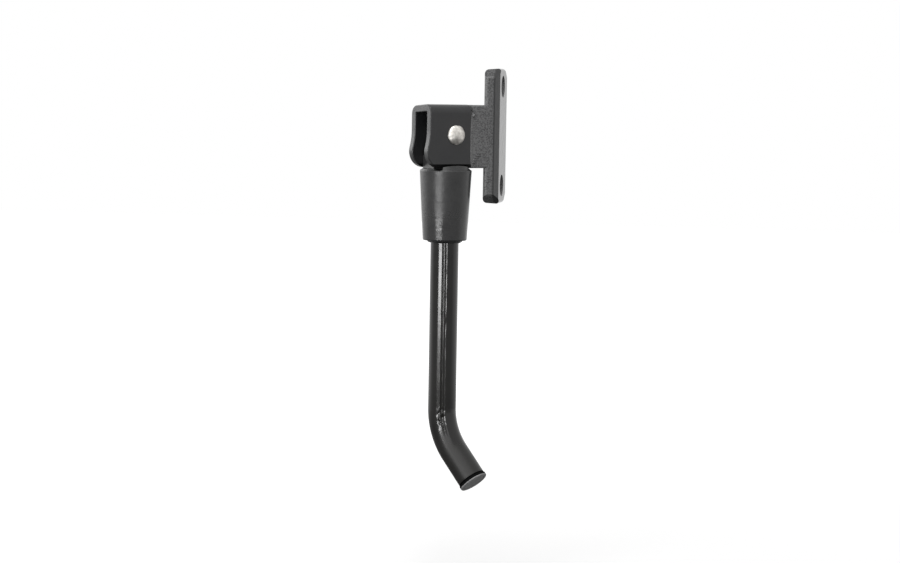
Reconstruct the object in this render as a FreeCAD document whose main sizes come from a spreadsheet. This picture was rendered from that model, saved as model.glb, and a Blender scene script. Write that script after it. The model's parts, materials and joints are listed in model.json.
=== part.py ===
# Electric scooter kickstand: a T-shaped mount, a folded yoke, and a spring-loaded leg on a rivet.
# Row frame: origin at the centre of the mounting face, +X out of that face, +Z up, leg folded down.
# Pivot frame: origin on the rivet's axis, x towards the mounting face, y along the rivet, z up.
# All sizes are in millimetres and degrees.
import FreeCAD
import Part
import math
import os
import re
import Sketcher

# Driving sizes: word, value, meaning
SIZES = (
    ("mount_tilt", 43.0, "angle between the leg's swing plane and the mounting face's normal"),
    ("pivot_reach", 31.1, "rivet axis to mounting face, along the swing plane"),
    ("pivot_height", 0.6, "rivet axis above the middle of the mounting face"),
    ("plate_height", 62.9, "mounting plate, top to bottom"),
    ("plate_thick", 6.5, "mounting plate, face to back"),
    ("plate_corner", 4.3, "bevel of the plate's four corners"),
    ("end_round", 1.4, "rounding of the edges across the plate's two ends"),
    ("plate_draft", 0.65, "drop of each end of the plate from its face to its back"),
    ("plate_back_round", 1.4, "rounding of the plate's back edges"),
    ("face_chamfer", 2.3, "chamfer round the mounting face"),
    ("tongue_round", 0.8, "rounding of the tongue's long edges"),
    ("bolt_spacing", 46.0, "distance between the two bolt holes"),
    ("bolt_hole", 10.0, "bolt hole diameter"),
    ("tongue_drop", 0.5, "top of the tongue below the top of the yoke"),
    ("notch_width", 1.1, "notch in the tongue's top, behind the yoke's roof"),
    ("notch_depth", 3.8, "depth of that notch"),
    ("yoke_wall", 3.3, "thickness of the yoke's sheet"),
    ("yoke_bottom", 15.2, "rivet axis to the cheeks' lowest edge"),
    ("yoke_front", 13.9, "rivet axis to the cheeks' straight front edge"),
    ("front_knee", 2.0, "height above the rivet at which the front edge starts to swell"),
    ("corner_round", 7.5, "radius of the cheeks' round corner"),
    ("corner_reach", 15.2, "rivet axis to the foremost point of the round corner"),
    ("seat_angle", 15.0, "angle from straight down at which the round corner meets the hollow bottom edge"),
    ("roof_drop", 1.2, "fall of the yoke's roof from one cheek to the other"),
    ("bend_inside", 0.6, "inner radius of the yoke's folds"),
    ("sheet_edge", 0.45, "rounding of the yoke's cut edges"),
    ("roof_setback", 0.4, "gap between the yoke's roof and the mount"),
    ("rivet_shank", 6.4, "rivet shank diameter"),
    ("rivet_head", 8.9, "rivet head diameter"),
    ("rivet_dome", 2.3, "rivet head height"),
    ("rivet_brim", 0.5, "straight height at the rivet head's edge"),
    ("rivet_fit", 0.05, "radial clearance of the rivet in its holes"),
    ("eye_radius", 8.0, "outer radius of the pull rod's eye"),
    ("eye_thick", 9.2, "width of the eye along the rivet"),
    ("side_clearance", 0.3, "gap between the eye and each cheek"),
    ("roof_gap", 2.9, "gap between the eye and the yoke's roof"),
    ("seam_gap", 0.5, "gap between the eye and the end of the mount's tongue"),
    ("neck_side", 7.6, "side of the pull rod's square neck"),
    ("neck_clearance", 0.15, "gap between the neck and the housing's slot"),
    ("rod_diameter", 6.0, "diameter of the pull rod's threaded end"),
    ("rod_tail", 1.5, "length of rod past the nut"),
    ("thread_fit", 0.05, "radial clearance of nut and washer on the rod"),
    ("nut_flats", 10.0, "nut, across its flats"),
    ("nut_height", 4.0, "nut height"),
    ("washer_thick", 1.2, "spring washer thickness"),
    ("spring_wire", 1.6, "spring wire diameter"),
    ("spring_length", 12.0, "spring length as fitted"),
    ("spring_turns", 4.0, "turns of the spring"),
    ("spring_clearance", 0.25, "gap between the spring or washer and its bore"),
    ("spring_seat", 0.02, "gap at each end of the spring"),
    ("seat_gap", 0.9, "gap between the cheeks' lowest edge and the housing's rim"),
    ("corner_clearance", 0.25, "gap between the cheeks' round corner and its path in the housing"),
    ("path_clearance", 0.3, "side gap of that path"),
    ("collar_top", 21.6, "diameter of the housing's collar at its crown"),
    ("collar_base", 22.4, "diameter of the collar at the housing's rim"),
    ("crown_rise", 2.1, "height of the collar's crown above the rim"),
    ("crown_radius", 36.0, "radius of the crown, which follows the cheeks' hollow bottom edge"),
    ("cone_top", 24.0, "housing diameter at its rim"),
    ("cone_bottom", 20.4, "housing diameter at its lower end"),
    ("cone_length", 32.5, "housing length from its rim down"),
    ("cone_edge", 0.6, "rounding of the housing's two end edges"),
    ("top_wall", 5.6, "housing wall above the spring"),
    ("tang_gap", 1.6, "gap between the housing's tang and the eye"),
    ("tang_inset", 2.4, "tang's reach short of the housing's rim"),
    ("tang_root", 4.5, "depth of the tang's root below the rim"),
    ("tongue_clearance", 0.5, "gap between the tang and the mount's tongue"),
    ("tube_outside", 13.0, "leg tube outer diameter"),
    ("tube_wall", 1.5, "leg tube wall"),
    ("tube_fit", 0.05, "radial clearance of the tube in the housing and of the plug in the tube"),
    ("tube_gap", 1.2, "gap between the nut and the tube's upper end"),
    ("straight_length", 77.7, "straight run of tube below the housing"),
    ("bend_radius", 31.0, "radius of the leg's bend, at the tube's axis"),
    ("bend_angle", 40.7, "turn of the leg's bend"),
    ("toe_azimuth", 68.0, "direction of the bent end, turned from the mount to the open side"),
    ("toe_length", 15.0, "straight run of tube past the bend"),
    ("plug_flange", 1.6, "thickness of the foot plug's flange"),
    ("plug_lip", 0.3, "reach of the flange past the tube's outside"),
    ("plug_groove", 0.4, "depth of the groove between flange and tube"),
    ("plug_groove_width", 0.7, "width of that groove"),
    ("plug_shank", 9.0, "length of the plug inside the tube"),
    ("plug_edge", 0.5, "rounding of the plug's outer edge"),
)

# Ties: sizes that follow from the driving ones
TIES = (
    ("yoke_gap", "eye_thick + 2 * side_clearance"),
    ("block_half", "yoke_gap / 2 + yoke_wall"),
    ("roof_under", "eye_radius + roof_gap"),
    ("yoke_top", "roof_under + yoke_wall"),
    ("seam", "eye_radius + seam_gap"),
    ("corner_x", "corner_reach - corner_round"),
    ("corner_z", "yoke_bottom - corner_round"),
    ("corner_radius", "sqrt(corner_x^2 + corner_z^2) + corner_round"),
    ("swell", "corner_reach - yoke_front"),
    ("swell_span", "(swell^2 + (front_knee + corner_z)^2) / (2 * swell)"),
    ("swell_x", "corner_x + corner_round * (swell_span - swell) / swell_span"),
    ("swell_z", "corner_z - corner_round * (front_knee + corner_z) / swell_span"),
    ("heel_x", "corner_x - corner_round * sin(seat_angle)"),
    ("heel_z", "corner_z + corner_round * cos(seat_angle)"),
    ("seat_width", "seam + heel_x"),
    ("seat_fall", "yoke_bottom - heel_z"),
    ("seat_lift", "sin(seat_angle) * seat_width + cos(seat_angle) * seat_fall"),
    ("seat_radius", "(seat_width^2 + seat_fall^2) / (2 * seat_lift)"),
    ("pin_hole", "rivet_shank / 2 + rivet_fit"),
    ("rim_drop", "yoke_bottom + seat_gap"),
    ("shoulder", "rim_drop + top_wall"),
    ("washer_top", "shoulder + spring_length"),
    ("nut_top", "washer_top + washer_thick"),
    ("nut_under", "nut_top + nut_height"),
    ("tube_end", "nut_under + tube_gap"),
    ("cone_end", "rim_drop + cone_length"),
    ("crown_half", "cone_top / 2"),
    ("crown_sag", "crown_radius - sqrt(crown_radius^2 - crown_half^2)"),
    ("bend_start", "cone_end + straight_length"),
    ("tube_bore", "tube_outside / 2 + tube_fit"),
    ("tube_inside", "tube_outside / 2 - tube_wall"),
    ("spring_radius", "tube_bore - spring_clearance - spring_wire / 2"),
    ("tang_top", "eye_radius + tang_gap"),
    ("tang_left", "cone_top / 2 - tang_inset"),
    ("tang_right", "seam - tongue_clearance"),
    ("slot_half", "neck_side / 2 + neck_clearance"),
    ("path_radius", "corner_radius + corner_clearance"),
    ("dome_radius", "((rivet_head / 2)^2 + (rivet_dome - rivet_brim)^2) / (2 * (rivet_dome - rivet_brim))"),
    ("leg_yaw", "mount_tilt - toe_azimuth"),
    ("pivot_x", "-pivot_reach * cos(mount_tilt)"),
    ("pivot_y", "-pivot_reach * sin(mount_tilt)"),
    ("toe_x", "bend_radius * (1 - cos(bend_angle)) + toe_length * sin(bend_angle)"),
    ("toe_drop", "bend_start + bend_radius * sin(bend_angle) + toe_length * cos(bend_angle)"),
)

SHEET_NAME = "Sizes"
WORDS = {entry[0] for entry in SIZES + TIES}
UP = FreeCAD.Vector(0, 0, 1)
NEAR = 1e-4
FULL_TURN = "360"

doc = FreeCAD.newDocument("kickstand")


def make_sheet():
    """Write the driving sizes and their ties to the sheet, one named cell each."""
    sheet = doc.addObject("Spreadsheet::Sheet", SHEET_NAME)
    driving = [(word, str(value), meaning) for word, value, meaning in SIZES]
    tied = [(word, "=" + formula, "tie") for word, formula in TIES]
    for row, (word, text, meaning) in enumerate(driving + tied, start=1):
        sheet.set(f"A{row}", word)
        sheet.set(f"B{row}", text)
        sheet.setAlias(f"B{row}", word)
        sheet.set(f"C{row}", meaning)
    doc.recompute()
    return sheet


sizes = make_sheet()


def value(formula):
    """The number that a formula of the sheet's words gives."""
    return float(sizes.evalExpression(str(formula)))


def bind(thing, path, formula):
    """Tie a property to a formula of the sheet's words."""
    words = r"\b(" + "|".join(WORDS) + r")\b"
    thing.setExpression(path, re.sub(words, SHEET_NAME + r".\1", formula))


def new_body(label, x="pivot_x", y="pivot_y", z="pivot_height", yaw="mount_tilt", pitch="0"):
    """A sub-part whose own frame is placed in the row frame."""
    body = doc.addObject("PartDesign::Body", label)
    body.Label = label
    turn = f"create(<<rotation>>; {yaw}; {pitch}; 0)"
    bind(body, "Placement", f"create(<<placement>>; create(<<vector>>; {x}; {y}; {z}); {turn})")
    return body


def new_sketch(body, name, role, height=None):
    """A sketch on one of the body's own planes, raised along that plane's normal."""
    sketch = body.newObject("Sketcher::SketchObject", name)
    plane = next(item for item in body.Origin.OriginFeatures if item.Role == role)
    sketch.AttachmentSupport = [(plane, "")]
    sketch.MapMode = "FlatFace"
    if height is not None:
        bind(sketch, "AttachmentOffset.Base.z", height)
    return sketch


def fix_point(sketch, geometry, end, x, y):
    """Tie a point of a sketch to two formulas."""
    for kind, formula in (("DistanceX", x), ("DistanceY", y)):
        index = sketch.addConstraint(Sketcher.Constraint(kind, -1, 1, geometry, end, value(formula)))
        bind(sketch, f"Constraints[{index}]", formula)


def fix_radius(sketch, geometry, radius):
    """Tie the radius of a circle or an arc to a formula."""
    index = sketch.addConstraint(Sketcher.Constraint("Radius", geometry, value(radius)))
    bind(sketch, f"Constraints[{index}]", radius)


def add_circle(sketch, x, y, radius):
    """A circle whose centre and radius are formulas."""
    centre = FreeCAD.Vector(value(x), value(y), 0)
    index = sketch.addGeometry(Part.Circle(centre, UP, value(radius)))
    fix_point(sketch, index, 3, x, y)
    fix_radius(sketch, index, radius)


def bow(start, end, radius, side):
    """The short arc from start to end, and whether it runs backwards; side 1 has its centre on the left."""
    chord = end - start
    across = FreeCAD.Vector(-chord.y, chord.x, 0).normalize()
    centre = (start + end) / 2 + across * side * math.sqrt(radius ** 2 - (chord.Length / 2) ** 2)
    first, last = (start, end) if side > 0 else (end, start)
    angles = [math.atan2(point.y - centre.y, point.x - centre.x) for point in (first, last)]
    return Part.ArcOfCircle(Part.Circle(centre, UP, radius), *angles), side < 0


def add_outline(sketch, corners, bows=None, closed=True):
    """An outline through corners given as pairs of formulas; bows maps a side's number to (radius, side)."""
    bows = bows or {}
    points = [FreeCAD.Vector(value(x), value(y), 0) for x, y in corners]
    count = len(points) if closed else len(points) - 1
    ends = []
    for number in range(count):
        start = points[number]
        end = points[(number + 1) % len(points)]
        backwards = False
        if number in bows:
            radius, side = bows[number]
            curve, backwards = bow(start, end, value(radius), side)
        else:
            curve = Part.LineSegment(start, end)
        index = sketch.addGeometry(curve)
        ends.append((index, 2, 1) if backwards else (index, 1, 2))
        fix_point(sketch, index, ends[-1][1], *corners[number])
        if number in bows:
            fix_radius(sketch, index, radius)
    for (index, _, last), (following, first, _) in zip(ends, ends[1:] + ends[:1] if closed else ends[1:]):
        sketch.addConstraint(Sketcher.Constraint("Coincident", index, last, following, first))
    if not closed:
        fix_point(sketch, ends[-1][0], ends[-1][2], *corners[-1])


def add_rectangle(sketch, left, low, right, high):
    """A rectangle between four formulas."""
    add_outline(sketch, [(left, low), (right, low), (right, high), (left, high)])


def extrude(body, kind, name, sketch, length, symmetric=False, backwards=False):
    """A pad or pocket of a sketch; a pocket has to take something away."""
    before = body.Shape.Volume if body.Tip else 0.0
    feature = body.newObject(f"PartDesign::{kind}", name)
    feature.Profile = sketch
    feature.SideType = "Symmetric" if symmetric else "One side"
    feature.Reversed = backwards
    bind(feature, "Length", length)
    finish(body, feature)
    if kind == "Pocket" and body.Shape.Volume > before - NEAR:
        raise ValueError(f"{name} cuts nothing")
    return feature


def revolve(body, name, sketch):
    """A full turn of a sketch about its own vertical axis."""
    feature = body.newObject("PartDesign::Revolution", name)
    feature.Profile = sketch
    feature.ReferenceAxis = (sketch, ["V_Axis"])
    bind(feature, "Angle", FULL_TURN)
    return finish(body, feature)


def soften(body, kind, name, size, test):
    """Fillet or chamfer the edges of the body's last feature that pass a test."""
    base = body.Tip
    edges = [f"Edge{number}" for number, edge in enumerate(base.Shape.Edges, start=1) if test(edge)]
    if not edges:
        raise ValueError(f"{name} finds no edge")
    feature = body.newObject(f"PartDesign::{kind}", name)
    feature.Base = (base, edges)
    bind(feature, "Radius" if kind == "Fillet" else "Size", size)
    return finish(body, feature)


def finish(body, feature):
    """Make a feature the body's last one and compute it."""
    body.Tip = feature
    doc.recompute()
    if feature.Shape.isNull() or not feature.Shape.isValid():
        raise ValueError(f"{feature.Name} has no valid shape")
    return feature


def along(edge, axis):
    """Whether an edge is straight and runs along an axis."""
    if not isinstance(edge.Curve, Part.Line):
        return False
    return edge.tangentAt(edge.FirstParameter).cross(axis).Length < NEAR


def middle(edge):
    """The point halfway along an edge."""
    return edge.valueAt((edge.FirstParameter + edge.LastParameter) / 2)


def near(first, second):
    """Whether two numbers agree."""
    return abs(first - second) < NEAR


X_AXIS = FreeCAD.Vector(1, 0, 0)
Y_AXIS = FreeCAD.Vector(0, 1, 0)


def make_mount_block():
    """T-shaped casting: a plate with two bolt holes, and a tongue along the swing plane."""
    body = new_body("mount_block", "0", "0", "0", "0")
    run = FreeCAD.Vector(value("cos(mount_tilt)"), value("sin(mount_tilt)"), 0)

    def plan(depth):
        """The two sides of the block in plan, at a depth behind the mounting face."""
        shift = f"sin(mount_tilt) * ({depth})"
        return [(f"-({depth})", f"({sign}block_half - {shift}) / cos(mount_tilt)") for sign in ("-", "")]

    sketch = new_sketch(body, "plate_plan", "XY_Plane")
    add_outline(sketch, plan("0") + plan("plate_thick")[::-1])
    extrude(body, "Pad", "plate", sketch, "plate_height", symmetric=True)
    for name, sign in (("top", ""), ("bottom", "-")):
        sketch = new_sketch(body, f"{name}_draft_outline", "XZ_Plane")
        back, end = "-2 * plate_thick", f"{sign}plate_height / 2"
        add_outline(sketch, [("0", end), (back, end), (back, f"{end} - {sign}2 * plate_draft")])
        extrude(body, "Pocket", f"{name}_draft", sketch, "8 * block_half", symmetric=True)

    def at_side(edge):
        """Whether an edge lies in one of the block's two sides."""
        return near(abs(middle(edge).cross(run).z), value("block_half"))

    bevel_level = value("plate_height / 2 - plate_corner")
    soften(body, "Chamfer", "plate_corners", "plate_corner",
           lambda edge: at_side(edge) and not along(edge, UP) and abs(middle(edge).z) > bevel_level)
    soften(body, "Chamfer", "face_edge", "face_chamfer",
           lambda edge: along(edge, UP) and near(middle(edge).x, 0) and middle(edge).y < 0)
    soften(body, "Fillet", "back_edge", "plate_back_round",
           lambda edge: along(edge, UP) and near(middle(edge).x, -value("plate_thick")))
    soften(body, "Fillet", "end_edges", "end_round",
           lambda edge: along(edge, Y_AXIS) and abs(middle(edge).z) > bevel_level)

    sketch = new_sketch(body, "tongue_plan", "XY_Plane", "pivot_height - yoke_bottom")

    def across(reach):
        """The two sides of the tongue in plan, at a reach from the rivet."""
        back = f"({reach} - pivot_reach)"
        return [(f"cos(mount_tilt) * {back} - sin(mount_tilt) * ({sign}block_half)",
                 f"sin(mount_tilt) * {back} + cos(mount_tilt) * ({sign}block_half)") for sign in ("-", "")]

    add_outline(sketch, plan("plate_thick / 2") + across("seam")[::-1])
    extrude(body, "Pad", "tongue", sketch, "yoke_bottom + yoke_top - tongue_drop")
    levels = [value("pivot_height - yoke_bottom"), value("pivot_height + yoke_top - tongue_drop")]
    soften(body, "Fillet", "tongue_edges", "tongue_round",
           lambda edge: along(edge, run) and any(near(middle(edge).z, level) for level in levels))

    sketch = new_sketch(body, "notch_plan", "XY_Plane", "pivot_height + yoke_top")
    add_outline(sketch, across("(seam - notch_width)") + across("(seam + notch_width)")[::-1])
    extrude(body, "Pocket", "roof_notch", sketch, "notch_depth")

    sketch = new_sketch(body, "bolt_centres", "YZ_Plane")
    for sign in ("", "-"):
        add_circle(sketch, "0", f"{sign}bolt_spacing / 2", "bolt_hole / 2")
    extrude(body, "Pocket", "bolt_holes", sketch, "plate_thick * 2")
    return body


def make_yoke():
    """Folded sheet: two cheeks with a swollen front corner, and a roof that stops short of the mount."""
    body = new_body("yoke")
    sketch = new_sketch(body, "cheek_outline", "XZ_Plane")
    add_outline(sketch, [
        ("seam", "yoke_top"), ("-yoke_front", "yoke_top"), ("-yoke_front", "front_knee"),
        ("-swell_x", "-swell_z"), ("-heel_x", "-heel_z"), ("seam", "-yoke_bottom"),
    ], {2: ("swell_span - corner_round", -1), 3: ("corner_round", 1), 4: ("seat_radius", -1)})
    extrude(body, "Pad", "folded_blank", sketch, "2 * block_half", symmetric=True)

    slope = "roof_drop / (2 * block_half)"
    sketch = new_sketch(body, "roof_section", "YZ_Plane")
    add_outline(sketch, [("-block_half", "yoke_top"), ("block_half", "yoke_top - roof_drop"),
                         ("block_half", "yoke_top + roof_drop"), ("-block_half", "yoke_top + roof_drop")])
    extrude(body, "Pocket", "roof_slope", sketch, "4 * corner_radius", symmetric=True)

    sketch = new_sketch(body, "gap_section", "YZ_Plane")
    add_outline(sketch, [("-yoke_gap / 2", "-2 * yoke_bottom"), ("yoke_gap / 2", "-2 * yoke_bottom"),
                         ("yoke_gap / 2", f"roof_under - {slope} * (block_half + yoke_gap / 2)"),
                         ("-yoke_gap / 2", f"roof_under - {slope} * yoke_wall")])
    extrude(body, "Pocket", "gap", sketch, "4 * corner_radius", symmetric=True)

    sketch = new_sketch(body, "roof_end_outline", "XZ_Plane")
    add_rectangle(sketch, "seam - roof_setback", "yoke_top - notch_depth",
                  "seam + roof_setback", "yoke_top + roof_setback")
    extrude(body, "Pocket", "roof_end", sketch, "4 * block_half", symmetric=True)

    sketch = new_sketch(body, "pin_centre", "XZ_Plane")
    add_circle(sketch, "0", "0", "pin_hole")
    extrude(body, "Pocket", "pin_holes", sketch, "4 * block_half", symmetric=True)

    def fold(half):
        """A test for the edges that run along the yoke's folds, at half a width from its middle."""
        return lambda edge: (along(edge, X_AXIS) and near(abs(middle(edge).y), value(half))
                             and middle(edge).z > value("yoke_top - notch_depth") + NEAR)

    soften(body, "Fillet", "inner_folds", "bend_inside", fold("yoke_gap / 2"))
    soften(body, "Fillet", "outer_folds", "bend_inside + yoke_wall", fold("block_half"))
    soften(body, "Fillet", "cut_edges", "sheet_edge",
           lambda edge: near(middle(edge).x, -value("yoke_front")) and not along(edge, Y_AXIS))
    return body


def make_rivet():
    """Rivet with a low domed head at each end."""
    body = new_body("pivot_rivet")
    head, shank = "rivet_head / 2", "rivet_shank / 2"
    brim, crown = "(block_half + rivet_brim)", "(block_half + rivet_dome)"
    sketch = new_sketch(body, "rivet_profile", "XY_Plane")
    add_outline(sketch, [
        ("0", "-" + crown), (head, "-" + brim), (head, "-block_half"), (shank, "-block_half"),
        (shank, "block_half"), (head, "block_half"), (head, brim), ("0", crown),
    ], {0: ("dome_radius", 1), 6: ("dome_radius", 1)})
    revolve(body, "turned_rivet", sketch)
    return body


def make_pull_rod():
    """Eye on the rivet, a square neck that keeps the leg from spinning, and a threaded end."""
    body = new_body("pull_rod")
    sketch = new_sketch(body, "eye_outline", "XZ_Plane")
    add_circle(sketch, "0", "0", "eye_radius")
    extrude(body, "Pad", "eye", sketch, "eye_thick", symmetric=True)
    sketch = new_sketch(body, "neck_section", "XY_Plane", "-shoulder")
    add_rectangle(sketch, "-neck_side / 2", "-neck_side / 2", "neck_side / 2", "neck_side / 2")
    extrude(body, "Pad", "neck", sketch, "shoulder")
    sketch = new_sketch(body, "rod_section", "XY_Plane", "-nut_under - rod_tail")
    add_circle(sketch, "0", "0", "rod_diameter / 2")
    extrude(body, "Pad", "rod", sketch, "nut_under + rod_tail - shoulder")
    sketch = new_sketch(body, "eye_bore", "XZ_Plane")
    add_circle(sketch, "0", "0", "pin_hole")
    extrude(body, "Pocket", "rivet_bore", sketch, "2 * eye_thick", symmetric=True)
    return body


def make_nut():
    """Hexagon nut that holds the spring on the rod."""
    body = new_body("rod_nut")
    sketch = new_sketch(body, "nut_section", "XY_Plane", "-nut_under")
    turns = [60 * number for number in range(6)]
    add_outline(sketch, [(f"nut_flats / sqrt(3) * cos({turn})", f"nut_flats / sqrt(3) * sin({turn})")
                         for turn in turns])
    add_circle(sketch, "0", "0", "rod_diameter / 2 + thread_fit")
    extrude(body, "Pad", "nut", sketch, "nut_height")
    return body


def make_washer():
    """Washer under the spring."""
    body = new_body("spring_washer")
    sketch = new_sketch(body, "washer_section", "XY_Plane", "-nut_top")
    add_circle(sketch, "0", "0", "tube_bore - spring_clearance")
    add_circle(sketch, "0", "0", "rod_diameter / 2 + thread_fit")
    extrude(body, "Pad", "washer", sketch, "washer_thick")
    return body


def make_spring():
    """Compression spring between the washer and the housing's shoulder."""
    body = new_body("coil_spring")
    sketch = new_sketch(body, "wire_section", "XZ_Plane")
    level = "(spring_seat + spring_wire / 2 - washer_top)"
    add_outline(sketch, [
        (f"spring_radius + spring_wire / 2 * cos({turn})", f"{level} + spring_wire / 2 * sin({turn})")
        for turn in range(0, 360, 45)
    ])
    coil = body.newObject("PartDesign::AdditiveHelix", "coil")
    coil.Profile = sketch
    coil.ReferenceAxis = (sketch, ["V_Axis"])
    coil.Mode = "height-turns-angle"
    bind(coil, "Height", "spring_length - 2 * spring_seat - spring_wire")
    bind(coil, "Turns", "spring_turns")
    finish(body, coil)
    return body


def make_housing():
    """Tapered spring housing with a tang between the cheeks and a path for their round corners."""
    body = new_body("spring_housing")
    sketch = new_sketch(body, "cone_profile", "XZ_Plane")
    add_outline(sketch, [
        ("0", "crown_rise - rim_drop"), ("collar_top / 2", "crown_rise - rim_drop"),
        ("collar_base / 2", "-rim_drop"), ("cone_top / 2", "-rim_drop"), ("cone_bottom / 2", "-cone_end"),
        ("tube_bore", "-cone_end"), ("tube_bore", "-shoulder"), ("0", "-shoulder"),
    ])
    revolve(body, "cone", sketch)
    ends = [value("cone_top / 2"), value("cone_bottom / 2")]
    soften(body, "Fillet", "cone_edges", "cone_edge",
           lambda edge: isinstance(edge.Curve, Part.Circle)
           and any(near(edge.Curve.Radius, radius) for radius in ends))

    sketch = new_sketch(body, "crown_outline", "XZ_Plane")
    add_outline(sketch, [
        ("crown_half", "crown_rise - rim_drop - crown_sag"), ("crown_half", "2 * crown_rise - rim_drop"),
        ("-crown_half", "2 * crown_rise - rim_drop"), ("-crown_half", "crown_rise - rim_drop - crown_sag"),
    ], {3: ("crown_radius", -1)})
    extrude(body, "Pocket", "crown", sketch, "2 * cone_top", symmetric=True)

    sketch = new_sketch(body, "path_outline", "XZ_Plane")
    add_circle(sketch, "0", "0", "path_radius")
    extrude(body, "Pocket", "corner_path", sketch, "2 * (block_half + path_clearance)", symmetric=True)

    sketch = new_sketch(body, "tang_outline", "XZ_Plane")
    add_rectangle(sketch, "-tang_left", "-rim_drop - tang_root", "tang_right", "-tang_top")
    extrude(body, "Pad", "tang", sketch, "eye_thick", symmetric=True)

    sketch = new_sketch(body, "tang_slot_outline", "XZ_Plane")
    add_rectangle(sketch, "-slot_half", "-path_radius", "slot_half", "-tang_top + tang_gap")
    extrude(body, "Pocket", "tang_slot", sketch, "2 * eye_thick", symmetric=True)

    sketch = new_sketch(body, "neck_slot_section", "XY_Plane", "-rim_drop")
    add_rectangle(sketch, "-slot_half", "-slot_half", "slot_half", "slot_half")
    extrude(body, "Pocket", "neck_slot", sketch, "2 * top_wall", symmetric=True)
    return body


def make_leg_tube():
    """Steel tube: straight from the housing, then bent towards the toe."""
    body = new_body("leg_tube", yaw="leg_yaw")
    section = new_sketch(body, "tube_section", "XY_Plane", "-tube_end")
    add_circle(section, "0", "0", "tube_outside / 2")
    add_circle(section, "0", "0", "tube_inside")
    path = new_sketch(body, "tube_path", "XZ_Plane")
    add_outline(path, [
        ("0", "-tube_end"), ("0", "-bend_start"),
        ("bend_radius * (1 - cos(bend_angle))", "-bend_start - bend_radius * sin(bend_angle)"),
        ("toe_x", "-toe_drop"),
    ], {1: ("bend_radius", 1)}, closed=False)
    pipe = body.newObject("PartDesign::AdditivePipe", "tube")
    pipe.Profile = section
    pipe.Spine = path
    finish(body, pipe)
    return body


def make_foot_plug():
    """Plastic plug that closes the toe of the tube."""
    body = new_body("foot_plug", "pivot_x + toe_x * cos(leg_yaw)", "pivot_y + toe_x * sin(leg_yaw)",
                    "pivot_height - toe_drop", "leg_yaw", "-bend_angle")
    rim, core = "tube_outside / 2 + plug_lip", "tube_inside - tube_fit"
    groove = "tube_outside / 2 - plug_groove"
    low = "-plug_groove_width - plug_flange"
    sketch = new_sketch(body, "plug_profile", "XZ_Plane")
    add_outline(sketch, [
        ("0", "plug_shank"), (core, "plug_shank"), (core, "0"), (groove, "0"),
        (groove, "-plug_groove_width"), (rim, "-plug_groove_width"), (rim, low), ("0", low),
    ])
    revolve(body, "moulded_plug", sketch)
    soften(body, "Fillet", "plug_rim", "plug_edge",
           lambda edge: isinstance(edge.Curve, Part.Circle) and near(edge.CenterOfMass.z, value(low)))
    return body


parts = [
    make_mount_block(), make_yoke(), make_rivet(), make_pull_rod(), make_nut(), make_washer(),
    make_spring(), make_housing(), make_leg_tube(), make_foot_plug(),
]
doc.recompute()

for item in doc.Objects:
    if {"Invalid", "Error"} & set(item.State):
        raise ValueError(f"{item.Name} failed: {item.State}")
for part in parts:
    if part.Shape.isNull() or not part.Shape.isValid():
        raise ValueError(f"{part.Label} has no valid shape")

os.makedirs("parts", exist_ok=True)
for part in parts:
    part.Shape.exportStep(f"parts/{part.Label}.step")
    print(f"{part.Label}: {part.Shape.Volume:.1f} mm3, {len(part.Shape.Solids)} solid")
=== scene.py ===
"""Looks of the electric scooter kickstand: coarse and satin black coats, a peened rivet,
a seamed gloss tube and a capped toe plug.

Sizes in the classes are millimetres in the pivot frame: origin on the rivet's axis, x towards
the mounting face, y along the rivet, z up. Finished meshes are metres in the row frame.
"""
import json
import logging
import math
from dataclasses import dataclass
from enum import Enum
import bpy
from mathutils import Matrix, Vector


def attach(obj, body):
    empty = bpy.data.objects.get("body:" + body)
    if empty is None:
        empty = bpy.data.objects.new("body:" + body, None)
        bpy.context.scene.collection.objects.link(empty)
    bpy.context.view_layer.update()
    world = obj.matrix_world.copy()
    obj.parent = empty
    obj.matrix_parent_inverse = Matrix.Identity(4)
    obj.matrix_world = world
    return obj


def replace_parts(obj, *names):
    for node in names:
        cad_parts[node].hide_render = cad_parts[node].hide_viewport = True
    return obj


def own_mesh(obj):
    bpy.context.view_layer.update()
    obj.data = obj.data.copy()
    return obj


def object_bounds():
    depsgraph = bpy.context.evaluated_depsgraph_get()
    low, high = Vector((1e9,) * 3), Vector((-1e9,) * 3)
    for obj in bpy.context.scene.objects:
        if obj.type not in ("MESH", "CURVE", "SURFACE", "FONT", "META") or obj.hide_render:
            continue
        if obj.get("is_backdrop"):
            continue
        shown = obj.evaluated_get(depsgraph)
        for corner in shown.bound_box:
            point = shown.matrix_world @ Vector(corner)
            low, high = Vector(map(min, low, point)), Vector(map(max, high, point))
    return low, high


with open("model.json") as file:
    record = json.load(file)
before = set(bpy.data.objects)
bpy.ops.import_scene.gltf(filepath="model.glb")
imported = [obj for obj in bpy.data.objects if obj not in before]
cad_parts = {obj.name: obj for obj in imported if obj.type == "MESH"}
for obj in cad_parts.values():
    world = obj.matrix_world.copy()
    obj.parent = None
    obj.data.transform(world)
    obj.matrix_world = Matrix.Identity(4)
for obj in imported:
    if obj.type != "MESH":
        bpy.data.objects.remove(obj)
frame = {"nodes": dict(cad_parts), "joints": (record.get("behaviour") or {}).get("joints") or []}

from types import MappingProxyType
from typing import Any, Callable, Iterable, Mapping, Sequence, Union

import bmesh
import bpy
from mathutils import Matrix, Vector, noise

LOG = logging.getLogger("kickstand")
MM = 0.001
UP = Vector((0.0, 0.0, 1.0))
NOTHING: Mapping[Any, Any] = MappingProxyType({})
Span = tuple[float, float]
Triple = tuple[float, float, float]


class Body(Enum):
    """The bodies that pieces ride on."""

    BRACKET = "bracket"
    ROD = "rod"
    LEG = "leg"


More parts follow.
